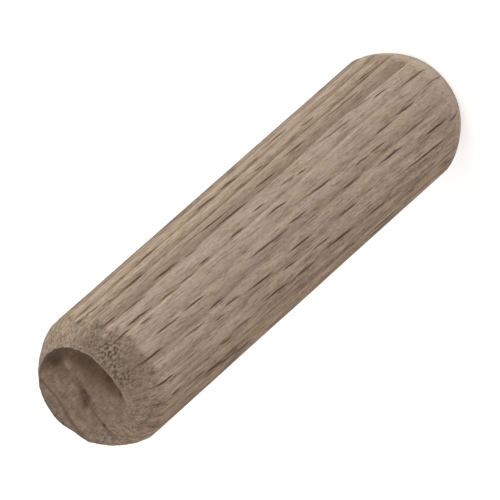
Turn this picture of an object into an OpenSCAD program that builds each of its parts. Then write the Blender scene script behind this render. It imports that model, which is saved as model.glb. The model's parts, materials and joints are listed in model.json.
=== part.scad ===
// Fluted wooden dowel pin: a turned beech rod with a crowned chamfer at each end,
// shallow straight flutes pressed along its side, and one end torn where it was cut off.
// Stands on its sound end, with its axis along +Z and the origin at the centre of that end.

/* [Pin] */
// Diameter over the lands between the flutes
pin_d = 10; // [6:0.1:20]
// Length over both ends
pin_len = 40; // [20:0.5:80]

/* [Ends] */
// Length of each chamfer, measured along the pin
chamfer_len = 2.5; // [1:0.1:4]
// How far each chamfer comes in from the side of the pin, on the radius
chamfer_in = 1.35; // [0.5:0.05:1.8]
// How far the chamfer bulges beyond a straight cone, at its middle
chamfer_crown = 0.14; // [0.05:0.01:0.25]

/* [Flutes] */
// Number of flutes round the pin
flute_count = 24; // [12:1:32]
// Depth of a flute where the fluting rolls bit deepest
flute_deep = 0.22; // [0.08:0.01:0.3]
// Depth of a flute on the side that the rolls barely marked
flute_shallow = 0.06; // [0.02:0.01:0.08]
// Included angle of a flute's two walls
flute_angle = 80; // [50:1:90]
// Direction of the first flute, from +X
flute_phase = 0.5; // [0:0.5:15]
// Direction in which the flutes are deepest, from +X
flute_deep_side = 330; // [0:1:360]
// How quickly the flutes fade away from that direction
flute_fade = 4; // [1:1:6]

/* [Torn end] */
// Mean width of the sound lip that the tear leaves inside the chamfer
lip_w = 0.17; // [0.1:0.01:0.6]
// How far the tear lies off the axis, so that it breaks through the lip on one side
tear_off = 0.3; // [0:0.01:0.5]
// Direction in which the tear lies off the axis, from +X
tear_side = 340; // [0:1:360]
// Distance from the axis to the line where the tear starts
tear_start = 2.4; // [1:0.1:2.8]
// Turn of that line about the axis, from +X
tear_turn = -6.5; // [-20:0.5:20]
// Slope of the upper shelf of the tear, along a growth ring
shelf_slope = 5; // [3:0.5:8]
// Distance from the axis to the line where the tear drops to its deep side
drop_start = 0.9; // [0.2:0.1:1.6]
// Turn of the drop about the axis, from +X
drop_turn = 32; // [0:1:60]
// Slope of the deep side of the tear
drop_slope = 12; // [8:0.5:16]
// Distance from the axis to the line where the worn side of the lip starts
worn_start = 1.6; // [1:0.1:2.5]
// Turn of that line about the axis, from +X
worn_turn = -75; // [-120:1:-30]
// Slope of the worn side of the lip
worn_slope = 14; // [4:0.5:18]
// How far a chip in the rim comes in from the edge of the end face
chip_in = 0.17; // [0.05:0.01:0.3]
// Turn of the chip's edge about the axis, from +X
chip_turn = 202; // [180:1:230]
// Slope of the chip
chip_slope = 47; // [40:1:52]

/* [Hidden] */
$fn = 128;

pin_r = pin_d / 2;
end_r = pin_r - chamfer_in;
tear_r = end_r - lip_w;

// The crown of a chamfer is one arc through the rim of the end face and the shoulder.
chamfer_chord = sqrt(chamfer_in * chamfer_in + chamfer_len * chamfer_len);
crown_r = (chamfer_chord * chamfer_chord / 4 + chamfer_crown * chamfer_crown) / (2 * chamfer_crown);
crown_back = (crown_r - chamfer_crown) / chamfer_chord;
crown_x = end_r + chamfer_in / 2 - crown_back * chamfer_len;
crown_z = chamfer_len / 2 + crown_back * chamfer_in;

// Cutters run past the surfaces that they cut by this much.
overrun = 1;
tear_reach = 2 * pin_d;

// What the chamfering cutter takes off the corner of the rod's half section, outside the crown's arc.
module corner_waste() {
    difference() {
        translate([0, -overrun]) square([pin_r + overrun, crown_z + overrun]);
        translate([crown_x, crown_z]) circle(r = crown_r);
    }
}

// The turned rod with both ends chamfered, before fluting.
module turned_rod() {
    rotate_extrude()
        difference() {
            square([pin_r, pin_len]);
            corner_waste();
            translate([0, pin_len]) mirror([0, 1]) corner_waste();
        }
}

// How deep a flute is in a given direction: deepest on one side, fading to a faint line.
function flute_depth(direction) =
    let (facing = max(0, cos(direction - flute_deep_side)))
    flute_shallow + (flute_deep - flute_shallow) * pow(facing, flute_fade);

// One straight V flute, cut the whole length of the pin.
module flute(direction) {
    depth = flute_depth(direction);
    cut_h = depth + overrun;
    half_w = cut_h * tan(flute_angle / 2);
    rotate([0, 0, direction])
        translate([pin_r - depth, 0, -overrun])
            linear_extrude(pin_len + 2 * overrun)
                polygon([[0, 0], [cut_h, -half_w], [cut_h, half_w]]);
}

// Everything above a plane that starts along a line on the torn end's face
// and slopes down into the pin on the -Y side of that line.
module torn_away(start, turn, slope) {
    translate([0, 0, pin_len])
        rotate([0, 0, turn])
            translate([0, start, 0])
                rotate([slope, 0, 0])
                    translate([-tear_reach / 2, -tear_reach, 0])
                        cube([tear_reach, tear_reach, tear_reach]);
}

// The tear: a shelf along a growth ring and a deeper side, both inside one round wall.
module tear() {
    intersection() {
        rotate([0, 0, tear_side])
            translate([tear_off, 0, 0])
                cylinder(r = tear_r, h = pin_len + overrun);
        union() {
            torn_away(tear_start, tear_turn, shelf_slope);
            torn_away(drop_start, drop_turn, drop_slope);
        }
    }
}

module dowel_pin() {
    color("tan")
        difference() {
            turned_rod();
            for (i = [0 : flute_count - 1])
                flute(flute_phase + i * 360 / flute_count);
            tear();
            torn_away(-worn_start, worn_turn, worn_slope);
            torn_away(chip_in - end_r, chip_turn, chip_slope);
        }
}

dowel_pin();
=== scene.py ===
"""A fluted beech dowel pin, torn at one end, standing on its sound end on a white floor."""

import json
import math

import bpy
import numpy as np
from mathutils import Matrix, Vector, noise


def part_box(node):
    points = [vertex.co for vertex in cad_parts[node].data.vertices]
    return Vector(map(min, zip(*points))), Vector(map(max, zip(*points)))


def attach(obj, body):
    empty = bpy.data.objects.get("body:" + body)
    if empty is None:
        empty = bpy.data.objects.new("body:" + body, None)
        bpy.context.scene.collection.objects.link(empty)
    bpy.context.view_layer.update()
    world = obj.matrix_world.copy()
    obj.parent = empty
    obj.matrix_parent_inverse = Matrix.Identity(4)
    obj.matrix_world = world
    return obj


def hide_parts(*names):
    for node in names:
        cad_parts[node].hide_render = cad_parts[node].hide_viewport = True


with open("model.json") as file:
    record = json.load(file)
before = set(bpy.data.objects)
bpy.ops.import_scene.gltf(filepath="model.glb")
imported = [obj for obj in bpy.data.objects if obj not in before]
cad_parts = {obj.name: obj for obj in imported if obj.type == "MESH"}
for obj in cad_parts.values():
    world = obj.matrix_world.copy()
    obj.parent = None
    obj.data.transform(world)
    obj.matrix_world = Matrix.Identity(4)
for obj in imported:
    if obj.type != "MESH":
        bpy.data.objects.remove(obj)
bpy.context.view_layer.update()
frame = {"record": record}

# The dowel pin
# One beech rod, turned to size and chamfered at both ends by a cutter that leaves a crowned cone.
# Fluting rolls pressed straight grooves along it, deep on one side and faint on the other, and
# one end tore along the growth rings when it was cut off. Lengths here are in millimetres.
mm_per_m = 1000
shank = next(mount for mount in frame["record"]["mounts"] if mount["name"] == "shank")
pin_r = shank["dims"]["r_mm"]
pin_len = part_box("dowel_pin")[1].z * mm_per_m
chamfer_len = (pin_len - shank["dims"]["length_mm"]) / 2
chamfer_in = 1.35
chamfer_crown = 0.14
end_r = pin_r - chamfer_in

# The crown of a chamfer is one arc through the rim of the end face and the shoulder.
chord = math.hypot(chamfer_in, chamfer_len)
crown_r = (chord**2 / 4 + chamfer_crown**2) / (2 * chamfer_crown)
crown_back = (crown_r - chamfer_crown) / chord
crown_x = end_r + chamfer_in / 2 - crown_back * chamfer_len
crown_z = chamfer_len / 2 + crown_back * chamfer_in
rim_slope = crown_z / (end_r - crown_x)
shoulder_slope = (crown_z - chamfer_len) / (pin_r - crown_x)

# The flutes fade from their deep side. Their depth varies along them by a share of itself,
# and they stray by a share of their pitch.
flute_count = 24
flute_pitch = 2 * math.pi / flute_count
flute_phase = math.radians(0.5)
flute_deep_side = math.radians(330)
flute_deep = 0.22
flute_shallow = 0.06
flute_fade = 4
flute_uneven = 0.45
flute_stray = 0.10
rib_roundness = 2.0
fibre_relief = 0.012


def smooth_min(a, b, blend):
    """The smaller of two heights, with the crease between them rounded over about that length."""
    return -blend * np.logaddexp(-a / blend, -b / blend)


def smooth_step(low, high, value):
    """Rises smoothly from 0 at low to 1 at high."""
    t = np.clip((value - low) / (high - low), 0, 1)
    return t * t * (3 - 2 * t)


def roughness_at(x, y, z, size, seed):
    """Even noise from -1 to 1 at each place, with lumps of about that size."""
    places = np.stack(np.broadcast_arrays(x, y, z), axis=-1) / size + seed
    values = [noise.noise(Vector(place)) for place in places.reshape(-1, 3)]
    return np.array(values).reshape(places.shape[:-1])


def turned_radius(height):
    """Radius that the chamfering cutters leave at a height, carried on past the shoulders."""
    below_end = np.minimum(height, pin_len - height)
    on_crown = np.clip(below_end, 0, chamfer_len)
    crown = crown_x + np.sqrt(crown_r**2 - (crown_z - on_crown) ** 2)
    return crown + (below_end - on_crown) * shoulder_slope


# The torn end is a shelf along a growth ring and a deeper side, within a thin lip that the tear
# broke through on one side, and that is worn away on another and chipped. Each slope starts along a
# line across the end face: its distance from the axis, its turn from +X and its slope, in degrees.
lip_w = 0.17
thinnest_lip = 0.03
tear_off = 0.3
tear_side = math.radians(340)
chip_in = 0.17
shelf = (2.4, -6.5, 5.0)
drop = (0.9, 32.0, 12.0)
worn_side = (-1.6, -75.0, 14.0)
chip = (chip_in - end_r, 202.0, 47.0)
drop_blend = 0.05
# Hollows and bumps on the torn floor: place, turn from +X, reach along and across, and depth.
floor_marks = [
    ((3.2, 0.4), 90, (0.9, 0.40), 0.25),
    ((1.4, -1.7), -35, (1.4, 0.70), 0.20),
    ((2.0, -0.42), -4, (0.8, 0.16), -0.16),
    ((-0.25, 0.4), 140, (0.55, 0.40), 0.12),
    ((0.45, -0.1), 147, (0.6, 0.30), 0.08),
    ((-1.0, 0.85), 0, (0.28, 0.20), -0.12),
    ((-1.9, 0.78), -6, (0.7, 0.14), -0.07),
    ((-2.37, 0.58), 0, (0.12, 0.10), 0.12),
]
# A split waves along the line where the shelf starts.
split_w = 0.14
split_depth = 0.06
split_off = 0.06
split_wave = 0.16
split_wave_rate = 1.5
split_wave_start = -1
# A crack leans a little as it runs from near the axis to the -X rim.
crack_w = 0.15
crack_depth = 0.03
crack_off = 0.35
crack_lean = 0.1
crack_starts = (-0.8, -1.2)
crack_stops = (-4.0, -3.3)


def slope_depth(x, y, start, turn, slope):
    """How far a plane lies below the end face, when it starts on a line and slopes down past it."""
    across = y * math.cos(math.radians(turn)) - x * math.sin(math.radians(turn))
    return (start - across) * math.tan(math.radians(slope))


def mark_strength(x, y, place, turn, reach):
    """Falls from 1 at a mark's middle to 0 past its reach."""
    away_x, away_y = x - place[0], y - place[1]
    cos_t, sin_t = math.cos(math.radians(turn)), math.sin(math.radians(turn))
    along = (away_x * cos_t + away_y * sin_t) / reach[0]
    across = (away_y * cos_t - away_x * sin_t) / reach[1]
    return np.exp(-(along**2) - across**2)


def split_strength(x, y):
    """Falls from 1 in the split to 0 beside it."""
    wave = split_off + split_wave * np.cos((x - split_wave_start) * split_wave_rate)
    start, turn, _ = shelf
    from_split = slope_depth(x, y - wave, start, turn, 45)
    return np.exp(-((from_split / split_w) ** 2))


def crack_strength(x, y):
    """Falls from 1 in the crack to 0 beside it and past its ends."""
    along = smooth_step(*crack_starts, x) * smooth_step(*crack_stops, x)
    return along * np.exp(-(((y - crack_off + crack_lean * x) / crack_w) ** 2))


def torn_depth(x, y):
    """How deep the torn floor lies below the end face, inside the lip."""
    on_shelf = slope_depth(x, y, *shelf)
    depth = -smooth_min(-on_shelf, -slope_depth(x, y, *drop), drop_blend)
    inside = smooth_step(-0.02, 0.12, on_shelf)
    for place, turn, reach, mark_depth in floor_marks:
        depth = depth + mark_depth * mark_strength(x, y, place, turn, reach) * inside
    depth = np.maximum(depth, 0)
    return depth + split_depth * split_strength(x, y) + crack_depth * crack_strength(x, y)


def worn_depth(x, y):
    """How far wear and the chip took the lip down below the end face."""
    depth = np.zeros(np.shape(x))
    for slope in (worn_side, chip):
        depth = np.maximum(depth, slope_depth(x, y, *slope))
    return depth


# Points run in rows from the middle of the sound end, up the side, to the middle of the torn end.
# Each rib has the same columns, crowded towards the valleys.
columns_per_half_rib = 10
column_crowding = 1.35
foot_ring_count = 6
foot_row_count = 18
body_row_count = 40
top_row_count = 48
floor_ring_count = 76
half_rib = (np.arange(columns_per_half_rib) / columns_per_half_rib) ** column_crowding / 2
rib_places = np.sort(np.concatenate([half_rib, 1 - half_rib[1:], [0.5]]))
angles = (np.arange(flute_count)[:, None] + rib_places).ravel() * flute_pitch + flute_phase
cos_a, sin_a = np.cos(angles), np.sin(angles)

# The top rows end at the lip, which lies lower where it is worn or the tear broke through it.
# Wear is measured just outside the rim, where it meets the chamfer.
rim_roughness = 0.04
just_outside = 0.1
shoulder_run = 0.9
shoulder_z = pin_len - chamfer_len - shoulder_run
rim_rough = roughness_at(end_r * cos_a, end_r * sin_a, 0, 0.35, 4.0)
tear_r = end_r - lip_w + tear_off * np.cos(angles - tear_side) + rim_roughness * rim_rough
broken_drop = np.maximum(0, (tear_r + thinnest_lip - end_r) / rim_slope)
wear_r = end_r + just_outside
rim_drop = np.maximum(broken_drop, worn_depth(wear_r * cos_a, wear_r * sin_a))
foot_heights = np.linspace(0, chamfer_len + shoulder_run, foot_row_count)
body_heights = np.linspace(chamfer_len + shoulder_run, shoulder_z, body_row_count)[1:-1]
low_heights = np.concatenate([foot_heights, body_heights])[:, None] + 0 * angles
top_share = np.linspace(0, 1, top_row_count)[:, None]
top_heights = shoulder_z + (pin_len - rim_drop - shoulder_z) * top_share
heights = np.concatenate([low_heights, top_heights])

# The flutes vary in depth and stray a little, and the fibres stand slightly proud of each other.
# Each changes more slowly along the pin than across it, so its noise is stretched that way.
flute_lump = 1.3
fibre_w = 0.23
turns = (angles - flute_phase) / flute_pitch
valleys = flute_phase + np.round(turns) * flute_pitch
valley_x, valley_y = pin_r * np.cos(valleys), pin_r * np.sin(valleys)
swing = roughness_at(valley_x, valley_y, heights / 4, flute_lump, 21.0)
stray = roughness_at(valley_x, valley_y, heights / 6, flute_lump, 33.0)
fibres = roughness_at(pin_r * cos_a, pin_r * sin_a, heights / 14, fibre_w, 2.0)
from_valley = turns - np.round(turns) + flute_stray * stray
facing = np.maximum(0, np.cos(valleys - flute_deep_side))
flute_depth = flute_shallow + (flute_deep - flute_shallow) * facing**flute_fade
groove_share = np.maximum(0, 1 - 2 * np.abs(from_valley)) ** rib_roundness
groove = flute_depth * (1 + flute_uneven * swing) * groove_share
fluted = pin_r - groove + fibre_relief * (1 + fibres)

# The chamfers cut through the ribs and barely round the shoulders. The torn end is the rougher one.
end_roughness = 0.05
shoulder_blend = 0.015
near_top = smooth_step(pin_len / 2, pin_len, heights)
end_rough = roughness_at(pin_r * cos_a, pin_r * sin_a, heights, 0.7, 11.0)
turned = turned_radius(heights) + end_roughness * end_rough * near_top
radius = smooth_min(turned, fluted, shoulder_blend)
chamfered = smooth_step(-0.08, 0.10, fluted - turned)

# Rows go in across the lip by shares of its width, then down the wall by steps inwards. Each wall
# row has made a share of the drop to the floor. A painted highlight runs along the edge between
# them.
lip_steps = np.array([0.4, 0.8])[:, None]
wall_steps = np.array([0, 0.02, 0.06, 0.12])[:, None]
wall_drops = [0, 0.7, 0.95, 1]
lip_light = [0.5, 1]
wall_light = [1, 0.3, 0, 0]
rim_r = radius[-1]
tear_r = np.minimum(tear_r, rim_r - thinnest_lip)
lip_rows = rim_r + (tear_r - rim_r) * lip_steps
wall_rows = tear_r - wall_steps
wall_foot = len(lip_rows) + len(wall_rows) - 1
floor_rows = wall_rows[-1] * np.linspace(1, 0, floor_ring_count)[1:-1, None]
top_r = np.concatenate([lip_rows, wall_rows, floor_rows])
on_lip, on_floor = np.zeros(len(lip_rows)), np.ones(len(floor_rows))
floor_share = np.concatenate([on_lip, wall_drops, on_floor])[:, None]
edge_share = np.concatenate([lip_light, wall_light, 0 * on_floor])[:, None]
top_x, top_y = top_r * cos_a, top_r * sin_a
torn_floor, worn_floor = torn_depth(top_x, top_y), worn_depth(top_x, top_y)
lip_depth = np.maximum(broken_drop, worn_floor)
top_depth = lip_depth + (np.maximum(torn_floor, worn_floor) - lip_depth) * floor_share
wall_depth = torn_floor[wall_foot] - worn_floor[wall_foot]

foot_r = np.linspace(0, end_r, foot_ring_count)[1:-1, None] * np.ones_like(angles)
grid_r = np.concatenate([foot_r, radius, top_r])
grid_z = np.concatenate([0 * foot_r, heights, pin_len - top_depth])
rows, columns = grid_r.shape
x = np.append((grid_r * cos_a).ravel(), [0, 0])
y = np.append((grid_r * sin_a).ravel(), [0, 0])
z = np.append(grid_z.ravel(), [0, pin_len - torn_depth(0, 0)])


def on_points(foot_value, side_values, top_values):
    """One value for each point, from the rows of the foot, the side and the torn end."""
    side_values = np.broadcast_to(side_values, radius.shape)
    top_values = np.broadcast_to(top_values, top_r.shape)
    grid = np.concatenate([np.full(foot_r.shape, foot_value), side_values, top_values])
    return np.append(grid.ravel(), [foot_value, top_values[-1].mean()])


# How deep the tear is, where the chamfer and the torn face are, and where a painted highlight runs
# along the edge of the lip.
rim_light = 0.7
torn = on_points(0, 0, top_depth)
on_top = chamfered * (heights > pin_len / 2)
chamfer = on_points(0, on_top, 1)
worn_share = smooth_step(-0.15, 0.05, worn_floor - torn_floor) * smooth_step(0, 0.05, worn_floor)
end_face = on_points(0, 0, floor_share * (1 - worn_share))
lip_share = smooth_step(0.04, 0.25, wall_depth)
on_rim = rim_light * lip_share * (top_share == 1)
lip_edge = on_points(0, np.concatenate([0 * low_heights, on_rim]), edge_share * lip_share)

# The cutter pulled fibres out of the chamfer, more on the fluted side and most in two patches.
# For each patch: the angle round the pin from the front, -Y, towards -X and the distance from
# the torn end, and how far it reaches both ways.
pulled_least = 0.15
pulled_on_fluted_side = 0.25
pulled_in_patch = 0.8
pulled_on_end = 0.25
front_side = 270
pulled_patches = [((-16, 0.9), (9, 0.6)), ((8, 0.45), (13, 0.45))]
pulled = pulled_least + pulled_on_fluted_side * smooth_step(-1, 1.5, pin_r * cos_a)
for (angle, from_end), (reach_round, reach_along) in pulled_patches:
    round_pin = (front_side - np.degrees(angles) - angle) / reach_round
    along_pin = (pin_len - heights - from_end) / reach_along
    pulled = pulled + pulled_in_patch * np.exp(-(round_pin**2) - along_pin**2)
pulled_out = on_points(0, np.clip(pulled, 0, 1) * on_top, pulled_on_end)

# Where the ribs run out at the torn end, painted highlights lie on them, with painted shade in the
# creases beside them. For each mark: the angle round the pin from -Y towards -X and the distance
# from the torn end, its turn on the unrolled side, its reach along and across, and how much lighter
# or darker it is.
shoulder_highlights_and_shade = [
    ((-70, 1.4), 90, (0.60, 0.45), 0.4),
    ((-57.6, 2.15), 48, (0.40, 0.10), 0.8),
    ((-55.3, 1.9), 48, (0.50, 0.14), -1.0),
    ((-44, 2.0), 90, (0.35, 0.18), 0.7),
    ((-39, 1.8), 30, (0.35, 0.25), -0.6),
    ((-34, 2.0), 60, (0.30, 0.16), -0.5),
    ((-28, 2.0), 90, (0.50, 0.20), 0.9),
    ((-22, 1.5), 90, (0.50, 0.30), -0.3),
]
unrolled = pin_r * (math.radians(front_side) - angles) + 0 * heights
shoulder_painted_tone = 0
for (angle, from_end), turn, reach, strength in shoulder_highlights_and_shade:
    mark_place = (pin_r * math.radians(angle), from_end)
    mark = mark_strength(unrolled, pin_len - heights, mark_place, turn, reach)
    shoulder_painted_tone = shoulder_painted_tone + strength * mark
shoulder_mark = on_points(0, shoulder_painted_tone, 0)

# Some ribs are browner: the direction from +X, half the width and the strength of each.
brown_ribs = [(305, 8.5, 0.8), (280, 6, 0.2), (260, 6, 0.3)]
rib_browning = 0
for direction, half_w, strength in brown_ribs:
    rib_browning = rib_browning + strength * np.exp(-(((np.degrees(angles) - direction) / half_w) ** 2))

# Painted shade fills the bottom of each flute and spreads up the wall that the light misses. The
# other wall stays light, and a painted highlight runs along its crisp edge. Widths are shares of
# the pitch.
bottom_w = 0.05
dark_wall_w = 0.24
lit_side_wall_w = 0.04 + 0.15 * (1 - facing)
edge_from_bottom = 0.08
edge_shift = 0.3
flute_strength = (0.4 + 0.6 * smooth_step(0.6, 0.95, facing)) * (1 + 0.5 * swing)
wall_w = np.where(from_valley > 0, dark_wall_w, lit_side_wall_w)
bottom_shade = 0.6 * np.exp(-((from_valley / bottom_w) ** 2))
wall_shade = 0.7 * np.exp(-((from_valley / wall_w) ** 2))
darkened = np.clip(flute_strength * (bottom_shade + wall_shade) + rib_browning, 0, 1)
valley = on_points(0, darkened * (1 - 0.8 * chamfered), 0)
edge_strength = np.maximum(0, 1 + 1.8 * swing) * facing**flute_fade * (1 - 0.5 * chamfered)
lit_wall = on_points(0, edge_strength * (from_valley < 0), 0)
past_bottom = np.abs(from_valley) - edge_from_bottom
from_edge = on_points(1, past_bottom - edge_shift * (1 - facing), 1)

# Darker brown on the torn end, besides what the split and the crack hold: partly stain in the tear,
# mostly painted shadow under the rim and painted shade in the hollows and the pit. The ridge beside
# the
# deep side is painted lighter. For each: place, turn from +X, reach along and across, and strength.
end_stains_and_shade = [
    ((3.0, 0.3), 90, (0.85, 0.70), 0.9),
    ((2.0, -1.5), 30, (1.2, 0.75), 0.55),
    ((0.6, -1.9), 0, (1.5, 1.0), 0.72),
    ((-0.6, -2.5), -15, (0.9, 0.50), 0.9),
    ((-1.55, -2.47), -30, (0.25, 0.13), 0.8),
    ((-0.25, 0.2), 135, (0.65, 0.46), 1.2),
    ((0.45, -0.1), 150, (0.6, 0.30), 0.5),
    ((1.4, 0.0), 0, (0.9, 0.22), 0.3),
    ((-0.5, 0.85), 110, (0.50, 0.24), 0.4),
    ((-2.37, 0.58), 0, (0.11, 0.10), 1.0),
    ((1.6, -0.45), -4, (1.2, 0.20), -0.6),
]
# The split and the crack hold dirt and painted shade.
crack_stain_and_shade = 0.6
cracks = np.maximum(split_strength(top_x, top_y), crack_strength(top_x, top_y))
dirt_and_shade = crack_stain_and_shade * cracks
for place, turn, reach, strength in end_stains_and_shade:
    dirt_and_shade = dirt_and_shade + strength * mark_strength(top_x, top_y, place, turn, reach)
stain = on_points(0, 0, np.clip(dirt_and_shade, 0, 1))

# The saw tore the end grain, most of all in the hollow, and the rim wore down unevenly.
floor_roughness = 0.08
worn_roughness = 0.03
worn_blend = 0.012
grit_depth = 0.03
floor_rough = 0.6 * roughness_at(x, y, z, 0.5, 11.0) + 0.4 * roughness_at(x, y, z, 0.2, 5.0)
floor_rough = floor_roughness * floor_rough * smooth_step(0.02, 0.3, torn)
z = z + floor_rough
worn_z = pin_len - worn_depth(x, y) + 0.5 * floor_rough
worn_z = worn_z + worn_roughness * roughness_at(x, y, 0, 0.6, 3.0)
z = np.where(z > pin_len - chamfer_len, smooth_min(z, worn_z, worn_blend), z)
z = np.minimum(z, pin_len)
grit = grit_depth * roughness_at(x, y, z, 0.18, 8.0) * chamfer
x = x + grit * x / pin_r
y = y + grit * y / pin_r

# Quads join each row to the next one, and a fan of triangles closes each end.
index = np.arange(rows * columns).reshape(rows, columns)
after = np.roll(index, -1, axis=1)
quads = np.stack([index[:-1], after[:-1], after[1:], index[1:]], axis=-1).reshape(-1, 4)
foot_centre, top_centre = rows * columns, rows * columns + 1
faces = quads.tolist()
faces += [(foot_centre, b, a) for a, b in zip(index[0], after[0])]
faces += [(top_centre, a, b) for a, b in zip(index[-1], after[-1])]

sharp_edge = math.radians(50)
mesh = bpy.data.meshes.new("dowel_pin_wood")
mesh.from_pydata((np.stack([x, y, z], axis=-1) / mm_per_m).tolist(), [], faces)
point_values = {
    "chamfer": chamfer,
    "end_face": end_face,
    "lip_edge": lip_edge,
    "stain": stain,
    "valley": valley,
    "lit_wall": lit_wall,
    "from_edge": from_edge,
    "pulled_out": pulled_out,
    "shoulder_mark": shoulder_mark,
}
for name, values in point_values.items():
    mesh.attributes.new(name, "FLOAT", "POINT").data.foreach_set("value", values)
mesh.shade_smooth()
mesh.set_sharp_from_angle(angle=sharp_edge)
pin = bpy.data.objects.new("dowel_pin_wood", mesh)
bpy.context.scene.collection.objects.link(pin)


class Field:
    """A socket of a material. Arithmetic on values adds Math nodes, node() adds any other node."""

    # A Mix node has sockets for numbers and vectors before those for colours.
    first_colour, second_colour, mixed_colour = 6, 7, 2

    def __init__(self, tree, socket=None):
        self.tree = tree
        self.socket = socket

    def node(self, kind, settings, sockets, output=0):
        """Adds a node with these settings, sets or links its sockets, and returns one output."""
        made = self.tree.nodes.new("ShaderNode" + kind)
        for name, value in settings.items():
            setattr(made, name, value)
        for name, value in sockets.items():
            if isinstance(value, Field):
                self.tree.links.new(value.socket, made.inputs[name])
            else:
                made.inputs[name].default_value = value
        return Field(self.tree, made.outputs[output])

    def math(self, operation, *values):
        """Adds a Math node."""
        return self.node("Math", {"operation": operation}, dict(enumerate(values)))

    def __add__(self, other):
        return self.math("ADD", self, other)

    def __radd__(self, other):
        return self.math("ADD", other, self)

    def __sub__(self, other):
        return self.math("SUBTRACT", self, other)

    def __rsub__(self, other):
        return self.math("SUBTRACT", other, self)

    def __mul__(self, other):
        return self.math("MULTIPLY", self, other)

    def __rmul__(self, other):
        return self.math("MULTIPLY", other, self)

    def __truediv__(self, other):
        return self.math("DIVIDE", self, other)

    def __abs__(self):
        return self.math("ABSOLUTE", self)

    def step(self, low, high):
        """Rises smoothly from 0 at low to 1 at high."""
        settings = {"interpolation_type": "SMOOTHSTEP"}
        return self.node("MapRange", settings, {"Value": self, "From Min": low, "From Max": high})

    def vector(self, operation, other):
        """Adds a Vector Math node."""
        return self.node("VectorMath", {"operation": operation}, {0: self, 1: other})

    def mix(self, first, second, clamp=True):
        """Blends two colours, with this value as the share of the second."""
        settings = {"data_type": "RGBA", "clamp_factor": clamp}
        sockets = {"Factor": self, self.first_colour: first, self.second_colour: second}
        return self.node("Mix", settings, sockets, output=self.mixed_colour)


def colour(red, green, blue):
    """A colour from the 0 to 255 numbers that a screen shows it with."""

    def linear(part):
        part = part / 255
        return part / 12.92 if part <= 0.04045 else ((part + 0.055) / 1.055) ** 2.4

    return (linear(red), linear(green), linear(blue), 1.0)


# The wood's fibres lean a little off the pin's axis. Noise in it is drawn out along them.
grain_drift = math.tan(math.radians(3.0))
noise_distortion = 0.2

beech = bpy.data.materials.new("beech")
beech.use_nodes = True
beech_nodes = beech.node_tree
shader = beech_nodes.nodes["Principled BSDF"]
wood = Field(beech_nodes)
in_metres = wood.node("TexCoord", {}, {}, output="Object")
in_mm = in_metres.vector("MULTIPLY", (mm_per_m, mm_per_m, mm_per_m))
along_x, along_y, along_z = [
    wood.node("SeparateXYZ", {}, {0: in_mm}, output=axis) for axis in "XYZ"
]
leaning_x = along_x - grain_drift * along_z
leaning = wood.node("CombineXYZ", {}, {0: leaning_x, 1: along_y, 2: along_z})


def speckle(per_mm, detail, seed):
    """Noise from 0 to 1 in the wood, with this many lumps to the millimetre along each axis."""
    scaled = leaning.vector("MULTIPLY", per_mm).vector("ADD", (seed, seed, seed))
    sockets = {"Vector": scaled, "Scale": 1.0, "Detail": detail, "Distortion": noise_distortion}
    return wood.node("TexNoise", {}, sockets, output="Fac")


def painted(name):
    """A value that the mesh carries at its points."""
    return wood.node("Attribute", {"attribute_name": name}, {}, output="Fac")


bands = speckle((0.7, 0.7, 0.05), 2.0, 3.0)
streaks = speckle((2.6, 2.6, 0.2), 3.0, 7.0)
fibre = speckle((8.0, 8.0, 0.7), 2.0, 1.0)
fuzz = speckle((9.0, 9.0, 3.0), 3.0, 5.0)
bold = speckle((0.45, 0.45, 0.35), 1.0, 25.0)
warmth = speckle((0.9, 0.9, 0.25), 2.0, 15.0)
yellow = speckle((1.0, 1.0, 0.5), 2.0, 19.0)
pink = speckle((1.0, 1.0, 0.6), 2.0, 27.0)
sway = speckle((1.2, 1.2, 0.9), 1.0, 9.0)
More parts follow.
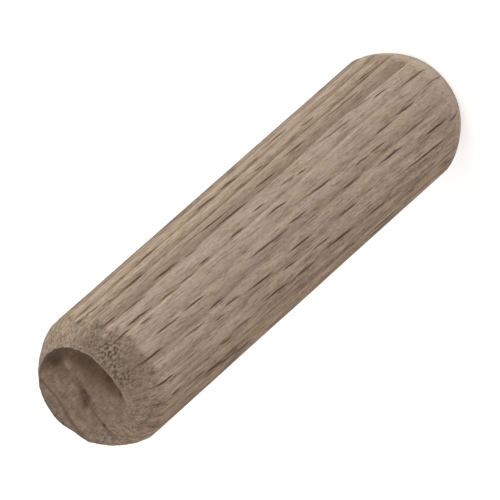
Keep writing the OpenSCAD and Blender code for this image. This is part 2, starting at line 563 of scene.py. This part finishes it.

# The dark ends of the rays show as short flecks along the grain, with a slight sway. Those on the
# front are listed: the angle round the pin from -Y towards -X, then how far from the torn end each
# fleck starts and stops. The back has the same ones mirrored, and further along. Short flecks are
# narrower, and those towards -X are wider, where the side cuts the rays at a slant.
fleck_half_w = 0.075
fleck_sway = 0.14
fleck_reach = 0.57
fleck_widening = 0.7
back_shift = 17.0
flecks = [
    (-64.5, 25.3, 27.3), (-61.5, 9.6, 11.8), (-61.5, 16.2, 18.6), (-61.5, 19.0, 21.0),
    (-51.3, 2.1, 3.6), (-51, 27.7, 29.1), (-48.5, 21.6, 22.7), (-48, 34.2, 35.6),
    (-47, 5.4, 8.6), (-39.5, 29.5, 33.0), (-39, 12.0, 13.8), (-38, 23.8, 26.4),
    (-36.5, 13.8, 16.5), (-34, 20.0, 22.3), (-32, 1.8, 3.3), (-32, 7.8, 10.6),
    (-31, 15.3, 18.8), (-29.5, 11.0, 12.5), (-29, 4.0, 6.4), (-29, 31.0, 32.6),
    (-25, 27.1, 30.4), (-24, 33.0, 34.6), (-20.5, 21.4, 23.0), (-20, 17.9, 19.3),
    (-18, 3.1, 5.5), (-18, 23.0, 24.1), (-17, 11.2, 12.5), (-16, 1.3, 3.0),
    (-16, 6.5, 8.4), (-16, 14.8, 16.4), (-15.5, 8.8, 10.8), (-15.5, 35.5, 38.6),
    (-12, 3.8, 5.0), (-9.5, 18.4, 20.7), (-3, 37.0, 39.6), (-1, 30.6, 32.6),
    (-1, 33.2, 35.3), (0.5, 22.5, 25.4), (2, 4.1, 6.9), (2.7, 7.1, 9.7),
    (6.5, 19.3, 21.5), (6.8, 14.7, 19.2), (7, 27.2, 29.0), (7.5, 29.1, 30.9),
    (11.5, 1.3, 3.9), (14.5, 9.2, 10.9), (14.7, 25.1, 27.4), (15, 32.5, 35.2),
    (18.5, 6.2, 8.2), (19, 29.0, 32.0), (21, 10.5, 12.1), (23.5, 18.0, 20.7),
    (25, 9.2, 10.3), (25, 12.9, 16.0), (27, 34.3, 36.9), (29.5, 23.7, 25.9),
    (32, 16.9, 18.4), (32, 37.2, 39.0), (34, 1.8, 3.8), (36, 20.1, 22.3),
    (39.7, 31.6, 36.2), (42, 13.9, 17.1), (43.5, 10.5, 12.6), (45, 17.9, 20.4),
    (45, 21.9, 24.9), (46, 9.1, 10.4), (48, 26.5, 28.7), (50, 1.7, 2.2),
    (50, 3.1, 4.3), (54, 4.7, 7.2), (60.2, 7.2, 9.2), (63.7, 8.8, 10.9),
    (66.7, 10.4, 12.8), (67, 35.8, 37.6), (69, 27.0, 30.6),
]
is_back = along_y.step(-0.05, 0.05)
from_torn_end = wood.math("WRAP", pin_len - along_z + is_back * back_shift, pin_len, 0.0)
side_angle = wood.math("ARCTAN2", 0 - along_x, abs(along_y))
across_grain = side_angle * pin_r - from_torn_end * grain_drift + (sway - 0.5) * fleck_sway
flat_place = wood.node("CombineXYZ", {}, {0: across_grain, 1: from_torn_end})
nearest = 100
for angle, start, stop in flecks:
    middle_s = (start + stop) / 2
    middle = (math.radians(angle) * pin_r - middle_s * grain_drift, middle_s, 0)
    half_len = fleck_reach * (stop - start)
    half_w = fleck_half_w * min(1.1, 0.4 + 0.5 * half_len)
    half_w = half_w / math.cos(math.radians(max(0, angle))) ** fleck_widening
    offset = flat_place.vector("SUBTRACT", middle).vector("DIVIDE", (half_w, half_len, 1))
    away = wood.node("VectorMath", {"operation": "LENGTH"}, {0: offset}, output="Value")
    nearest = wood.math("MINIMUM", away, nearest)
fleck = (1 - nearest.step(0.5, 1.15)) * (0.7 + 0.35 * bold.step(0.35, 0.6))

# Fibres, streaks and the late wood of the growth rings make the wood lighter and darker. It is
# streaked more on the fluted side and on the plain side than at the front.
ring_w = 2.2
ring_start = 3.6
ring_waver = 0.8
shoulder_from_end = 3
fluted_side = along_x.step(1.5, 4.8)
plain_side = (0 - along_x).step(0.0, 4.8)
plain_edge = (0 - along_x).step(3.6, 4.9)
fluted_edge = along_x.step(4.8, 4.98)
on_foot = 1 - along_z.step(1.2, 2.8)
by_shoulder = 1 - abs(along_z - (pin_len - shoulder_from_end)).step(0.3, 2.2)
ring = wood.math("FRACT", (along_y + ring_start + ring_waver * (bands - 0.5)) / ring_w)
late_wood = (1 - ring) * (1 - ring)
lit_edge = painted("lit_wall") * (1 - abs(painted("from_edge")).step(0.0, 0.07))
texture = (0.3 + 0.7 * fluted_side + 0.75 * plain_side) * (streaks - 0.5)
texture = texture + (0.65 + 0.3 * fluted_side) * (fibre - 0.5)
texture = texture + (0.75 - 0.15 * plain_side) * (fuzz - 0.5)
# The foot is painted lighter, a painted stand-in for light that the floor's shade takes from it.
shade = 1.12 + texture * (1 + plain_side) - 0.12 * late_wood + 0.3 * on_foot
# Painted light and shade: the plain side lighter, most by the shoulder, and darker at its edge.
shade = shade + (0.1 + 0.12 * by_shoulder) * plain_side - 0.2 * plain_edge
shade = shade * (1 - 0.25 * (1 - fibre).step(0.52, 0.72))
# A painted highlight runs along the lit edge of each flute, and the very edge of the fluted side is
# darker.
shade = shade + 0.6 * lit_edge * (0.4 + fibre) - 0.4 * fluted_edge

# The wood is greyest at the front and brownest at the plain edge, which is partly painted shade on
# the side away from the lamp, with warm, yellow and pink patches, and its dark parts are browner
# than its light ones.
front_wood = colour(160, 143, 128)
fluted_wood = colour(162, 143, 124)
plain_wood = colour(158, 135, 116)
plain_edge_wood = colour(158, 132, 109)
warm_wood = colour(160, 138, 117)
yellow_wood = colour(160, 143, 114)
pink_wood = colour(158, 135, 122)
foot_edge_grey = colour(128, 122, 120)
dark_wood = colour(96, 77, 60)
flute_shade_tint = (0.62, 0.59, 0.54)
at_foot_edge = 1 - along_z.step(0.05, 0.4)
tone = fluted_side.mix(front_wood, fluted_wood)
tone = plain_side.mix(tone, plain_wood)
tone = plain_edge.mix(tone, plain_edge_wood)
tone = (warmth.step(0.35, 0.65) * 0.4).mix(tone, warm_wood)
tone = (yellow.step(0.52, 0.72) * 0.6).mix(tone, yellow_wood)
tone = (pink.step(0.54, 0.72) * 0.5).mix(tone, pink_wood)
tone = (0.6 * at_foot_edge).mix(tone, foot_edge_grey)
tone = (1.5 * shade - 0.5).mix(dark_wood, tone, clamp=False)
# Painted shade in the flutes, together with the browner ribs.
in_valley = painted("valley") * (0.35 + 1.1 * streaks)
tone = in_valley.mix(tone, tone.vector("MULTIPLY", flute_shade_tint))

# Where the cutter went across the fibres, they broke off in pits, with loose ends standing up.
side_tint = (1.0, 0.99, 0.98, 1)
front_tint = (1.0, 0.95, 0.90, 1)
pit_brown = colour(74, 57, 45)
loose_fibre = colour(164, 146, 130)
fleck_brown = colour(85, 66, 51)
front_x = 0.6
on_chamfer = painted("chamfer")
on_end = painted("end_face")
pitted = painted("pulled_out")
pits = speckle((6.5, 6.5, 3.0), 1.0, 4.0)
lumps = speckle((3.0, 3.0, 1.5), 3.0, 17.0)
# Painted shade and light: the chamfer darker and browner at the front, most by the rim, lighter to
# the sides.
in_front = 1 - abs(along_x - front_x).step(1.4, 3.8)
by_rim = along_z.step(pin_len - 2.2, pin_len - 0.9)
cut_shade = 0.6 + 0.4 * lumps - (0.15 + 0.12 * by_rim) * in_front
cut_shade = cut_shade + 0.12 * plain_edge + 0.05 * fluted_side
cut_tint = in_front.mix(side_tint, front_tint)
cut_tone = tone.vector("MULTIPLY", cut_shade).vector("MULTIPLY", cut_tint)
tone = on_chamfer.mix(tone, cut_tone)
tone = (0.95 * pitted * pits.step(0.50, 0.62)).mix(tone, pit_brown)
tone = (0.5 * pitted * (1 - pits).step(0.52, 0.66)).mix(tone, loose_fibre)
# Painted highlights and shade where the ribs run out at the torn end.
shoulder_shade = 1 + 0.6 * painted("shoulder_mark") * (0.4 + 1.2 * lumps)
tone = tone.vector("MULTIPLY", shoulder_shade)
fleck_share = fleck * (0.65 + 0.6 * fibre + 0.35 * by_shoulder) * (1 - on_end)
tone = fleck_share.mix(tone, fleck_brown)

# The torn face shows the ends of the fibres, in fine rows across the rings. It is palest on the
# fluted side by the split. A pale painted highlight runs along the edge of the lip.
end_grain_dark = colour(122, 102, 84)
end_grain_pale = colour(132, 114, 97)
stain_and_shade_brown = colour(80, 53, 37)
lip_highlight_colour = colour(170, 152, 135)
mottle = speckle((1.6, 1.6, 1.2), 4.0, 6.0)
rows_of_pores = speckle((7.0, 1.4, 1.4), 3.0, 12.0)
split_light = 0.12 * along_x.step(0.5, 1.5) * along_y.step(0.8, 1.4)
torn_shade = 0.6 * mottle + 0.3 * lumps + 0.95 * rows_of_pores + 0.8 * fuzz
torn_shade = torn_shade - 0.05 * along_x - 0.19 + split_light
torn_tone = mottle.step(0.35, 0.65).mix(end_grain_dark, end_grain_pale)
tone = on_end.mix(tone, torn_tone.vector("MULTIPLY", torn_shade))
# Darker brown where the torn end is stained, and painted shadow and shade in its hollows.
tone = (painted("stain") * (0.1 + 1.4 * mottle)).mix(tone, stain_and_shade_brown)
tone = (painted("lip_edge") * (0.1 + 1.1 * lumps)).mix(tone, lip_highlight_colour)

# Bare wood is dull, a little more so where it is fuzzy. Its fibres stand up, and its flecks and
# pits lie lower.
bump_depth = 0.05
roughness = 0.66 + 0.2 * fuzz
relief = 0.5 * streaks + 0.7 * fibre + 0.6 * fuzz - 0.5 * fleck - 1.5 * pits * pitted
bump_sockets = {"Strength": 0.6, "Distance": bump_depth / mm_per_m, "Height": relief}
bump = wood.node("Bump", {}, bump_sockets)
beech_nodes.links.new(tone.socket, shader.inputs["Base Color"])
beech_nodes.links.new(roughness.socket, shader.inputs["Roughness"])
beech_nodes.links.new(bump.socket, shader.inputs["Normal"])
shader.inputs["Specular IOR Level"].default_value = 0.25
mesh.materials.append(beech)

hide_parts("dowel_pin")
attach(pin, "root")

# The studio
# A wide paper floor that the camera sees as white, apart from the pin's soft shadow, under a pale
# even sky and one broad soft lamp on the pin's fluted side. Lengths from here on are in metres.
floor_half = 1.5
paper_grey = (0.8, 0.8, 0.8, 1)
paper_glow = 0.55
sky_strength = 0.69
lamp_size = 0.4
lamp_power = 2.7
lamp_place = Vector((0.5, -0.45, 0.16))
pin_middle = Vector((0, 0, pin_len / (2 * mm_per_m)))

corners = [(-floor_half, -floor_half, 0), (floor_half, -floor_half, 0)]
corners += [(floor_half, floor_half, 0), (-floor_half, floor_half, 0)]
floor_mesh = bpy.data.meshes.new("floor")
floor_mesh.from_pydata(corners, [], [(0, 1, 2, 3)])
floor = bpy.data.objects.new("floor", floor_mesh)
bpy.context.scene.collection.objects.link(floor)

white = bpy.data.materials.new("white_floor")
white.use_nodes = True
white_nodes = white.node_tree
white_nodes.nodes.remove(white_nodes.nodes["Principled BSDF"])
paper = Field(white_nodes)
rays = ("Is Camera Ray", "Is Glossy Ray", "Is Transmission Ray")
by_camera, by_gloss, by_glass = [paper.node("LightPath", {}, {}, output=ray) for ray in rays]
diffuse = paper.node("BsdfDiffuse", {}, {"Color": paper_grey})
glow = paper.node("Emission", {}, {"Strength": (by_camera + by_gloss + by_glass) * paper_glow})
both = paper.node("AddShader", {}, {0: diffuse, 1: glow})
white_nodes.links.new(both.socket, white_nodes.nodes["Material Output"].inputs["Surface"])
floor_mesh.materials.append(white)

world = bpy.data.worlds.new("sky")
bpy.context.scene.world = world
world.use_nodes = True
sky = world.node_tree.nodes["Background"]
sky.inputs["Color"].default_value = (1, 1, 1, 1)
sky.inputs["Strength"].default_value = sky_strength

lamp_light = bpy.data.lights.new("key", "AREA")
lamp_light.size = lamp_size
lamp_light.energy = lamp_power
lamp = bpy.data.objects.new("key", lamp_light)
lamp.location = lamp_place
lamp.rotation_euler = (pin_middle - lamp_place).to_track_quat("-Z", "Y").to_euler()
lamp.visible_camera = False
bpy.context.scene.collection.objects.link(lamp)

bpy.context.scene.view_settings.view_transform = "Standard"

# The camera
# A long lens, 0.64 m off and 41 degrees above the floor, rolled so that the pin lies across the
# frame with its torn end at the lower left. The pin's middle lies a few pixels right of and above
# the middle of the 500 by 500 pixel frame.
view_angle = 0.8611
roll = -0.728
distance = 0.6406
pixels_per_mm = 14.71
right_px, up_px = 3.1, 4.07
forward = Vector((0, math.sin(view_angle), -math.cos(view_angle)))
level_right = Vector((1, 0, 0))
level_down = forward.cross(level_right)
right = math.sin(roll) * level_right + math.cos(roll) * level_down
down = math.sin(roll) * level_down - math.cos(roll) * level_right
camera_place = pin_middle - forward * distance
camera_place += (up_px * down - right_px * right) / pixels_per_mm / mm_per_m

camera_data = bpy.data.cameras.new("camera")
camera_data.lens = 678.4
camera_data.sensor_width = 36
camera_data.clip_end = 10
camera = bpy.data.objects.new("camera", camera_data)
axes = Matrix((right, -down, -forward)).transposed().to_4x4()
camera.matrix_world = Matrix.Translation(camera_place) @ axes
bpy.context.scene.collection.objects.link(camera)
bpy.context.scene.camera = camera
